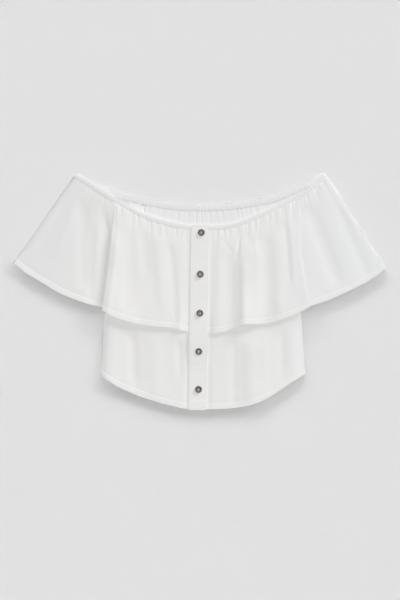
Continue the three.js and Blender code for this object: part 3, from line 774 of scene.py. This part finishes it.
def body_front(side):
    right = side == "right"
    inner = (-1 if right else 1) * (BAND["wide"] / 2 - BAND_TUCK)
    neck_x = [BODY_NECK_X[side], band_middle(BAND["top"]) + inner]
    hem_x = [BODY_HEM[0 if right else -1][0], band_middle(BAND["bottom"]) + inner]
    if not right:
        neck_x.reverse()
        hem_x.reverse()

    def low(at):
        from_side = at["wide"] * (at["u"] if right else 1 - at["u"])
        lift = side_lift(side, at["x"], at["y"], from_side, at["up"])
        return front_low(at["x"], at["y"], from_side, BODY_ROLL[side]) + lift + hem_height(at["up"])

    panel = {
        "neck": edge(front_neck, *neck_x, FRONT_AWAY),
        "hem": edge(body_hem, *hem_x),
        "bow": bow(BODY_BOW["right"], 0) if right else bow(0, BODY_BOW["left"]),
        "low": low,
    }
    grid, at = surface(panel, **DIVIDED["body_front"])
    front = shell("front_of_body_" + side, grid, COTTON, turned=hem_share(at))
    piece = dress(front, "cotton", "body_front_" + side)


# The frills

def edge_crest(side, from_edge):
    """How far a front frill stands off beside its free side edge."""
    crest = EDGE_CREST[side]
    ridge = crest["high"] * np.exp(-(((from_edge - crest["at"]) / crest["wide"]) ** 2))
    return ridge + crest["lift"] * np.exp(-((from_edge / crest["fades"]) ** 2))


def hem_lift(x, up):
    """How far a front frill stands off above its hem."""
    near = sum(high * np.exp(-(((x - place) / wide) ** 2)) for place, wide, high in HEM_LIFTS)
    return (HEM_LIFT["high"] + near) * (1 - smoothstep(up, 0, HEM_LIFT["up"]))


def frill_front(side, hem_table, folds):
    right = side == "right"
    inner = band_middle(BAND["top"]) + (-1 if right else 1) * (BAND["wide"] / 2 - BAND_TUCK)
    neck_x = [FRILL_NECK_X["right"], inner] if right else [inner, FRILL_NECK_X["left"]]
    hem = Line(hem_table)
    strip = FRILL_STRIP[side]

    def low(at):
        from_edge = at["wide"] * (at["u"] if right else 1 - at["u"])
        from_band = at["wide"] * (1 - at["u"] if right else at["u"])
        clear = smoothstep(from_band, BAND_TUCK, BAND_TUCK + FRILL_IN["band"])
        down = smoothstep(at["down"], *FRILL_IN["rise_down"])
        rise = lerp(FRILL_NECK_RISE, FRILL_EDGE_LEVEL - FRILL_LEVEL, down)
        rise = rise * (1 - smoothstep(from_edge, strip, strip + FRILL_IN["rise_side"]))
        air = puffed(FRILL_AIR, folds, at["x"], at["y"])
        full = lerp(FRILL_EDGE_AIR[side], 1, smoothstep(from_edge, 0, FRILL_IN["side"]))
        full = full * smoothstep(at["down"], 0, FRILL_IN["down"])
        lifted = edge_crest(side, from_edge) * smoothstep(at["down"], *FRILL_IN["crest_down"])
        lifted += clear * hem_lift(at["x"], at["up"])
        to_edge = np.clip(1 - from_edge / EDGE_ROLL["wide"], 0, 1)
        rolled = EDGE_ROLL[side] * (1 - np.sqrt(1 - to_edge**2 * EDGE_ROLL["steep"]))
        gathers = gather_height("frill_" + side, at)
        return FRILL_LEVEL + rise + lifted + clear * (air * full + gathers) - rolled + hem_height(at["up"])

    panel = {
        "neck": edge(front_neck, *neck_x, FRONT_AWAY - UNDER_CASING, unevenly),
        "hem": hem.at,
        "bow": bow(FRILL_BOW["right"], 0) if right else bow(0, FRILL_BOW["left"]),
        "low": low,
    }
    grid, at = surface(panel, **DIVIDED["frill_front"])
    frill = shell("front_frill_" + side, grid, COTTON, turned=hem_share(at))
    piece = dress(frill, "cotton", "frill_front_" + side)


def frill_back():
    def low(at):
        shape = BACK_RIPPLE
        ripple = shape["half_high"] * (1 - np.cos(2 * np.pi * shape["count"] * at["u"]))
        inside = smoothstep(at["u"], 0, shape["ends"]) * (1 - smoothstep(at["u"], 1 - shape["ends"], 1))
        gathers = np.maximum(gather_height("frill_back", at), 0)
        return ripple * inside * smoothstep(at["down"], *shape["down"]) + gathers - WALL + SHEET

    panel = {
        "neck": edge(back_neck, *FRILL_BACK_NECK_X.values(), BACK_AWAY, unevenly),
        "hem": frill_back_hem.at,
        "low": low,
    }
    grid, _ = surface(panel, **DIVIDED["frill_back"])
    piece = dress(shell("back_frill", grid, COTTON), "cotton", "frill_back")


def sleeve(side, hem_table, folds):
    right = side == "right"
    way = 1 if right else -1
    hem = Line(hem_table if right else [(-x, y) for x, y in reversed(hem_table)])
    turn = np.array([way, 1])

    def neck_to(line, x, away):
        shoulder = 0 if right else 1
        to = line.share_at(x)
        return lambda u: line.beside(lerp(shoulder, to, u), away) * turn

    def upper_low(at):
        fall = lerp(*SLEEVE_FALL[side], smoothstep(at["down"], *SLEEVE_IN["fall_down"]))
        from_seam = at["wide"] * (1 - at["u"])
        from_fold = at["wide"] * at["u"]
        free = smoothstep((from_seam - SLEEVE_STRIP[side]) / fall, 0, 1)
        clear = smoothstep(from_fold, 0, SLEEVE_IN["fold"])
        air = lerp(SLEEVE_AIR, puffed(SLEEVE_AIR, folds, way * at["x"], at["y"]), clear)
        down = smoothstep(at["down"], 0, SLEEVE_IN["level_down"])
        level = lerp(SLEEVE_NECK_LEVEL, SLEEVE_LEVEL + air, down)
        level = level + SLEEVE_HEM_LIFT[side] * (1 - smoothstep(at["up"], 0, SLEEVE_HEM_LIFT["up"]))
        gathers = clear * gather_height("sleeve", at)
        to_fold = np.clip(1 - from_fold / SLEEVE_ROLL["wide"], 0, 1)
        rolled = SLEEVE_ROLL[side] * to_fold**2 * smoothstep(at["up"], 0, SLEEVE_ROLL["up"])
        return lerp(SLEEVE_OVER_BODY_LEVEL, level + gathers, free) - rolled + hem_height(at["up"])

    def lower_low(at):
        gathers = np.maximum(gather_height("sleeve_lower", at), 0)
        return smoothstep(at["u"], 0, SLEEVE_IN["lower_share"]) * gathers - WALL

    seam_x = way * FRILL_BACK_HEM[0 if right else -1][0] - SEAM_GAP - BACK_INSET
    seam = hem.share_at(seam_x)
    upper = {
        "neck": neck_to(front_neck, SLEEVE_NECK_X[side], FRONT_AWAY - UNDER_CASING),
        "hem": hem.at,
        "low": upper_low,
    }
    lower = {
        "neck": neck_to(back_neck, FRILL_BACK_NECK_X[side] - way * SEAM_GAP, BACK_AWAY),
        "hem": lambda u: hem.beside(lerp(0, seam, u), -BACK_INSET),
        "low": lower_low,
    }
    above, at_above = surface(upper, **DIVIDED["sleeve"])
    below, at_below = surface(lower, **DIVIDED["sleeve_lower"])
    below = below[:, ::-1]
    arc = fold_over(above, below, FOLD_OUT[side])
    grid = np.concatenate([below, arc, above], axis=1)
    arc_turned = np.repeat(hem_share(at_above)[:, :1], arc.shape[1], axis=1)
    turned = np.concatenate([hem_share(at_below), arc_turned, hem_share(at_above)], axis=1)
    if not right:
        grid, turned = grid[:, ::-1] * np.array([-1, 1, 1]), turned[:, ::-1]
    folded = shell("sleeve_frill_" + side, grid, COTTON, turned=turned)
    piece = dress(folded, "cotton", "frill_sleeve_" + side)


def fold_over(above, below, out_by):
    """Columns of points that carry the lower layer round the arm into the upper one."""
    middle = (above[:, 0] + below[:, -1]) / 2
    half = above[:, 0] - middle
    out = above[:, 0] - above[:, 1]
    out[:, 2] = 0
    out /= np.linalg.norm(out, axis=1, keepdims=True)
    arc = [
        middle + out * out_by * (1 - abs(height) ** FOLD_OUT["power"]) + half * height
        for height in np.sin(np.linspace(-math.pi / 2, math.pi / 2, FOLD_COLUMNS + 2)[1:-1])
    ]
    return np.stack(arc, 1)


# The casing

def casing(name, node, line, start, end, wide, level_at, rib):
    """A soft tube of cloth with elastic in it, ruched into fine ribs."""
    long = line.long * (end - start)
    n = int(long / CASING["ring_apart"])
    t = np.linspace(0, 1, n)
    share = lerp(start, end, t)
    place = t * long
    wobble = sum(far * np.sin(place * fast + start_at) for far, fast, start_at in RIB_WOBBLE)
    rib_high = lerp(*rib["high"], smoothstep(line.at(share)[:, 0], *rib["grows"]))
    ribs = rib_high * np.sin(2 * np.pi * (place + wobble) / rib["pitch"])
    from_end = np.minimum(place, long - place)
    taper = np.sqrt(np.clip(from_end / CASING["ends_round"], CASING["ends_least"], 1))
    section = np.linspace(0, 2 * np.pi, CASING["sides"], endpoint=False)
    level = level_at(share * line.long, (1 - share) * line.long)

    def rings(inset):
        """Rings of points round the tube, on its outside or as far inside as its cloth is thick."""
        out = []
        for angle in section:
            c, s = math.cos(angle), math.sin(angle)
            across = c * (wide / 2 - inset) * taper
            crown = CASING["crown"] * (1 - c * c) if s > 0 else CASING["edge_high"] * s
            up = CASING["edge_high"] + (crown + ribs * max(s, 0)) * taper - inset * (1 + 2 * min(s, 0))
            out.append(np.column_stack([line.beside(share, across), level + up]))
        return np.stack(out, 1)

    outside, inside = rings(0), rings(CASING["cloth"])
    k = len(section)
    inner = n * k
    i, j = np.meshgrid(np.arange(n - 1), np.arange(k), indexing="ij")
    a, b = (i * k + j).ravel(), (i * k + (j + 1) % k).ravel()
    tube_faces = np.stack([a, b, b + k, a + k], 1)
    first, following = np.arange(k), (np.arange(k) + 1) % k
    last = (n - 1) * k
    start_rim = np.stack([following, first, first + inner, following + inner], 1)
    end_rim = np.stack([first, following, following + inner, first + inner], 1) + last
    faces = np.concatenate([tube_faces, tube_faces[:, ::-1] + inner, start_rim, end_rim]).tolist()
    points = np.concatenate([outside.reshape(-1, 3), inside.reshape(-1, 3)])
    # The casing gets the darkened cotton, painted shade
    piece = dress(make_mesh(name, points, faces, PAINTED_SHADE_COTTON), "cotton", node)


def casings():
    def front_level(from_right, from_left):
        rise = smoothstep(np.minimum(from_right, from_left), 0, CASING_LEVEL["rises_over"])
        return lerp(CASING_LEVEL["shoulder"], CASING_LEVEL["front"], rise)

    def back_level(from_right, from_left):
        return np.full_like(from_right, CASING_LEVEL["back"])

    to_band = BAND["wide"] / 2 + SEAM_GAP * 2
    to_right, to_left = (front_neck.share_at(band_middle(BAND["top"]) + way * to_band) for way in (-1, 1))
    for side, start, end in (("right", 0, to_right), ("left", to_left, 1)):
        casing(
            "front_casing_" + side, "casing_front_" + side, front_neck, start, end,
            CASING["front_wide"], front_level, FRONT_RIBS,
        )
    casing(
        "back_casing", "casing_back", back_neck, 0, 1,
        CASING["back_wide"], back_level, BACK_RIBS,
    )


# The button band and its buttons

def band(name, node, wide, drop, stitched):
    def low(at):
        from_edge = np.minimum(at["u"], 1 - at["u"]) * wide
        stitches = np.exp(-(((from_edge - BAND_STITCH["in"]) / BAND_STITCH["wide"]) ** 2))
        sewn = BAND_STITCH["deep"] * stitches if stitched else 0
        wrinkled = folds_height(BAND_WRINKLES, at["x"], at["y"])
        return band_low(at["y"]) - drop - sewn + wrinkled + hem_height(at["up"], BAND["hem"])

    def across(y):
        return lambda u: np.stack([band_middle(y) + (u - 0.5) * wide, np.full_like(u, y)], -1)

    panel = {"neck": across(BAND["top"]), "hem": across(BAND["bottom"]), "low": low}
    hem, divided = BAND["hem"], BAND_DIVIDED
    ups = np.concatenate([
        BAND_ROWS_AT_HEM,
        np.linspace(3, hem - 1.5, divided["hem_rows"]),
        hem + np.linspace(-1, 1, divided["seam_rows"]),
        np.linspace(hem + 2, BAND_LONG, divided["rows"]),
    ])[::-1]
    shares = np.repeat(1 - ups[:, None] / BAND_LONG, divided["columns"], axis=1)
    grid, at = surface(panel, divided["columns"], shares=shares)
    turned = np.maximum(hem_share(at, hem), 0.5)
    piece = dress(shell(name, grid, COTTON, BAND_SHEET, turned), "cotton", node)


def lathe(profile, sides=40):
    """Points and faces of a profile of radius and height, turned round the upright axis."""
    points, faces = [], []
    for r, z in profile:
        for k in range(sides):
            a = 2 * math.pi * k / sides
            points.append((r * math.cos(a), r * math.sin(a), z))
    for i in range(len(profile) - 1):
        for k in range(sides):
            a, b = i * sides + k, i * sides + (k + 1) % sides
            faces.append((a, b, b + sides, a + sides))
    faces.append(tuple(range(sides))[::-1])
    faces.append(tuple((len(profile) - 1) * sides + k for k in range(sides)))
    return points, faces


def button_profile():
    """Half the section of a button, from the middle of its underside round its edge into its bowl."""
    radius, thick, dish = BUTTON["across"] / 2, BUTTON["thick"], BUTTON["dish"]
    below, above, bowl = BUTTON_ROUND["below"], BUTTON_ROUND["above"], BUTTON_ROUND["bowl"]
    turns = [(math.sin(a), math.cos(a)) for a in np.linspace(0, math.pi / 2, 6)]
    lower_turns = [(math.sin(a), math.cos(a)) for a in np.linspace(0, math.pi / 2, 5)]
    shares = np.linspace(0, 1, 6)
    lower_edge = [(radius - below + below * s, below - below * c) for s, c in lower_turns]
    upper_edge = [(radius - above + above * c, thick - above + above * s) for s, c in turns]
    inside = [(radius - BUTTON["rim"] - bowl * t, thick - dish * (3 * t**2 - 2 * t**3)) for t in shares]
    return [(radius * 0.4, 0), *lower_edge, *upper_edge, *inside, (radius * 0.3, thick - dish)]


def drilled(disc, holes):
    """Cut the four holes through a button."""
    radius, past = BUTTON["hole"] / 2, 3
    points, faces = lathe([(radius, -past), (radius, BUTTON["thick"] + past)], 16)
    drills = []
    for x, y in holes:
        shifted = [(px + x, py + y, pz) for px, py, pz in points]
        drills.append(make_mesh("drill", shifted, faces, HORN, False))
    for drill in drills:
        cut = disc.modifiers.new("cut", "BOOLEAN")
        cut.operation = "DIFFERENCE"
        cut.object = drill
    bpy.context.view_layer.update()
    evaluated = disc.evaluated_get(bpy.context.evaluated_depsgraph_get())
    cut_mesh = bpy.data.meshes.new_from_object(evaluated)
    disc.modifiers.clear()
    disc.data = cut_mesh
    for drill in drills:
        bpy.data.objects.remove(drill)


def button(number, turn):
    low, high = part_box(f"button_{number}")
    centre = (low + high) / 2 / MM + Vector((*BUTTON_SHIFTS[number - 1], 0))
    disc = make_mesh(f"horn_button_{number}", *lathe(button_profile()), HORN)
    corners = [math.radians(turn + 90 * k) for k in range(4)]
    off = BUTTON["hole_off"]
    holes = [(off * math.cos(corner), off * math.sin(corner)) for corner in corners]
    drilled(disc, holes)
    disc.data.transform(Matrix.Translation(Vector((centre.x, centre.y, low.z / MM)) * MM))
    dress(disc, "button", f"button_{number}")
    sew(number, holes, centre, low.z / MM + BUTTON["thick"] - BUTTON["dish"])


def tube(path, radius, sides=8):
    """Points and faces of a round thread along a path, closed at both ends."""
    path = np.asarray(path, float)
    t = np.gradient(path, axis=0)
    t /= np.linalg.norm(t, axis=1, keepdims=True)
    side = np.cross(t, [0.0, 0.0, 1.0])
    short = np.linalg.norm(side, axis=1, keepdims=True)
    side = np.where(short > 1e-6, side / np.maximum(short, 1e-6), [1.0, 0.0, 0.0])
    up = np.cross(side, t)
    angles = np.linspace(0, 2 * np.pi, sides, endpoint=False)
    rings = [path + radius * (math.cos(a) * side + math.sin(a) * up) for a in angles]
    points = np.stack(rings, 1).reshape(-1, 3)
    faces = []
    for i in range(len(path) - 1):
        for j in range(sides):
            a, b = i * sides + j, i * sides + (j + 1) % sides
            faces.append((a, b, b + sides, a + sides))
    faces.append(tuple(range(sides))[::-1])
    faces.append(tuple((len(path) - 1) * sides + j for j in range(sides)))
    return points, faces


def join(parts):
    points, faces, start = [], [], 0
    for p, f in parts:
        points.append(np.asarray(p, float))
        faces.extend(tuple(start + i for i in face) for face in f)
        start += len(p)
    return np.concatenate(points), faces


def sew(number, holes, centre, level):
    """Crossed white threads through the button's holes."""
    parts = []
    for a, b in ((0, 2), (1, 3)):
        for side in (-0.5, 0.5):
            start, end = np.array(holes[a]), np.array(holes[b])
            way = (end - start) / np.linalg.norm(end - start)
            across = np.array([-way[1], way[0]]) * SEWING["apart"] * side
            t = np.linspace(0, 1, 9)
            line = start + (end - start) * t[:, None] + across
            arch = SEWING["arch"] * np.sin(np.pi * np.clip(t, 0, 1)) ** SEWING["power"]
            z = level + SEWING["low"] + arch + (SEWING["cross"] if a else 0)
            parts.append(tube(np.column_stack([line + [centre.x, centre.y], z]), SEWING["radius"]))
    points, faces = join(parts)
    piece = make_mesh(f"button_thread_{number}", points, faces, THREAD)
    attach(piece, "root")


# The surface, the light and the camera

def surface_below():
    """The plain surface that the blouse lies on."""
    ways = ((-1, -1), (1, -1), (1, 1), (-1, 1))
    corners = [(x * FLOOR_HALF, y * FLOOR_HALF, -FLOOR_DOWN) for x, y in ways]
    floor = make_mesh("floor", corners, [(0, 1, 2, 3)], floor_material(), False)
    return floor


def sun(name, floor, round_from_top, height, spread, strength, falls_on):
    """A far light that falls on everything, on the floor only, or on all but the floor."""
    light = bpy.data.lights.new(name, "SUN")
    light.energy = strength
    light.angle = math.radians(spread)
    lamp = bpy.data.objects.new(name, light)
    turned, up = math.radians(round_from_top), math.radians(height)
    from_where = Vector((math.sin(turned) * math.cos(up), math.cos(turned) * math.cos(up), math.sin(up)))
    lamp.rotation_euler = from_where.to_track_quat("Z", "Y").to_euler()
    lamp.location = from_where * 3
    bpy.context.scene.collection.objects.link(lamp)
    if falls_on != "all":
        lit = bpy.data.collections.new("lit_by_" + name)
        lit.objects.link(floor)
        state = "INCLUDE" if falls_on == "floor" else "EXCLUDE"
        lit.collection_objects[0].light_linking.link_state = state
        lamp.light_linking.receiver_collection = lit


def surroundings():
    world = bpy.data.worlds.new("studio")
    world.use_nodes = True
    world.node_tree.nodes["Background"].inputs["Color"].default_value = (1.0, 1.0, 1.0, 1)
    world.node_tree.nodes["Background"].inputs["Strength"].default_value = FILL
    bpy.context.scene.world = world
    bpy.context.scene.view_settings.view_transform = "Standard"


def camera_above():
    camera = bpy.data.cameras.new("camera")
    camera.sensor_width = SENSOR
    camera.lens = SENSOR * CAMERA_OFF / FRAME_HIGH
    camera.clip_start, camera.clip_end = 0.1, 20
    eye = bpy.data.objects.new("camera", camera)
    eye.location = (FRAME_MIDDLE[0] * MM, FRAME_MIDDLE[1] * MM, CAMERA_OFF * MM)
    bpy.context.scene.collection.objects.link(eye)
    bpy.context.scene.camera = eye


floor = surface_below()
surroundings()
for name, (round_from_top, height, spread, strength, falls_on) in LIGHTS.items():
    sun(name, floor, round_from_top, height, spread, strength, falls_on)
camera_above()

frill_back()
body_back()
body_front("right")
body_front("left")
sleeve("right", SLEEVE_RIGHT_HEM, SLEEVE_RIGHT_FOLDS)
sleeve("left", SLEEVE_LEFT_HEM, SLEEVE_LEFT_FOLDS)
frill_front("right", FRILL_RIGHT_HEM, FRILL_RIGHT_FOLDS)
frill_front("left", FRILL_LEFT_HEM, FRILL_LEFT_FOLDS)
casings()
stand_wide = BAND["wide"] - 2 * (BAND_TUCK + BAND_SIDE_GAP)
band("button_stand", "placket_under", stand_wide, WALL + HEM_STEP + SEAM_GAP, False)
band("button_band", "placket_top", BAND["wide"], 0, True)
for number, turn in enumerate(BUTTON_TURNS, 1):
    button(number, turn)
